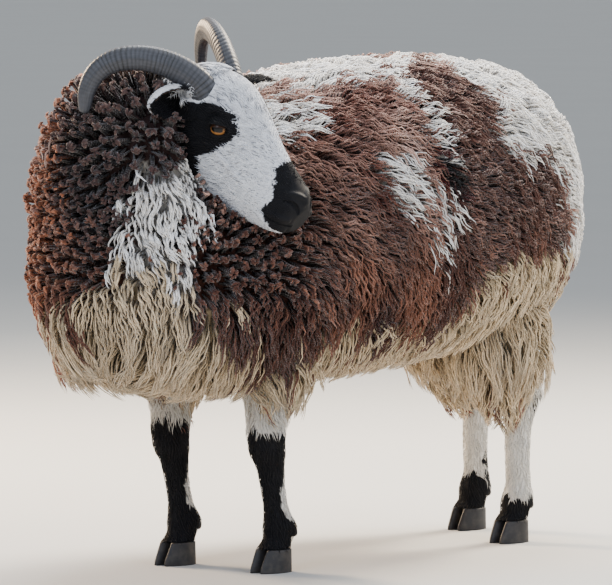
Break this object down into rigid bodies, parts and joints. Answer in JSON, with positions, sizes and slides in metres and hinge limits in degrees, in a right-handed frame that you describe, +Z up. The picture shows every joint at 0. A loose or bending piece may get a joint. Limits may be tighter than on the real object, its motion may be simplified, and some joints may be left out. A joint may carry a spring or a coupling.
{
  "type": "sheep",
  "caption": "Jacob ewe in full fleece, life size, standing, with her head turned to her left side; horned, piebald, a still model such as a museum shows.",
  "frame": {"origin": "on the floor, under the middle of the box round the whole animal", "axes": "+Z up, -Y the way the body faces, +Y towards the rump, +X towards the animal's left side"},
  "size_m": [0.5227, 0.9706, 0.7825],
  "materials": {
    "wool": "matt",
    "short_hair": "matt",
    "horn": "satin",
    "hoof": "matt",
    "eye": "polished"
  },
  "bodies": {
    "root": {"barrel": "wool", "ear_left": "short_hair", "ear_right": "short_hair", "eye_left": "eye", "eye_right": "eye", "foreleg_left": "short_hair", "foreleg_right": "short_hair", "head": "short_hair", "hindleg_left": "short_hair", "hindleg_right": "short_hair", "hoof_foreleg_left_left": "hoof", "hoof_foreleg_left_right": "hoof", "hoof_foreleg_right_left": "hoof", "hoof_foreleg_right_right": "hoof", "hoof_hindleg_left_left": "hoof", "hoof_hindleg_left_right": "hoof", "hoof_hindleg_right_left": "hoof", "hoof_hindleg_right_right": "hoof", "horn_left": "horn", "horn_right": "horn", "neck": "wool", "rump": "wool", "shoulders": "wool", "tail": "wool", "thigh_left": "wool", "thigh_right": "wool"}
  },
  "joints": []
}
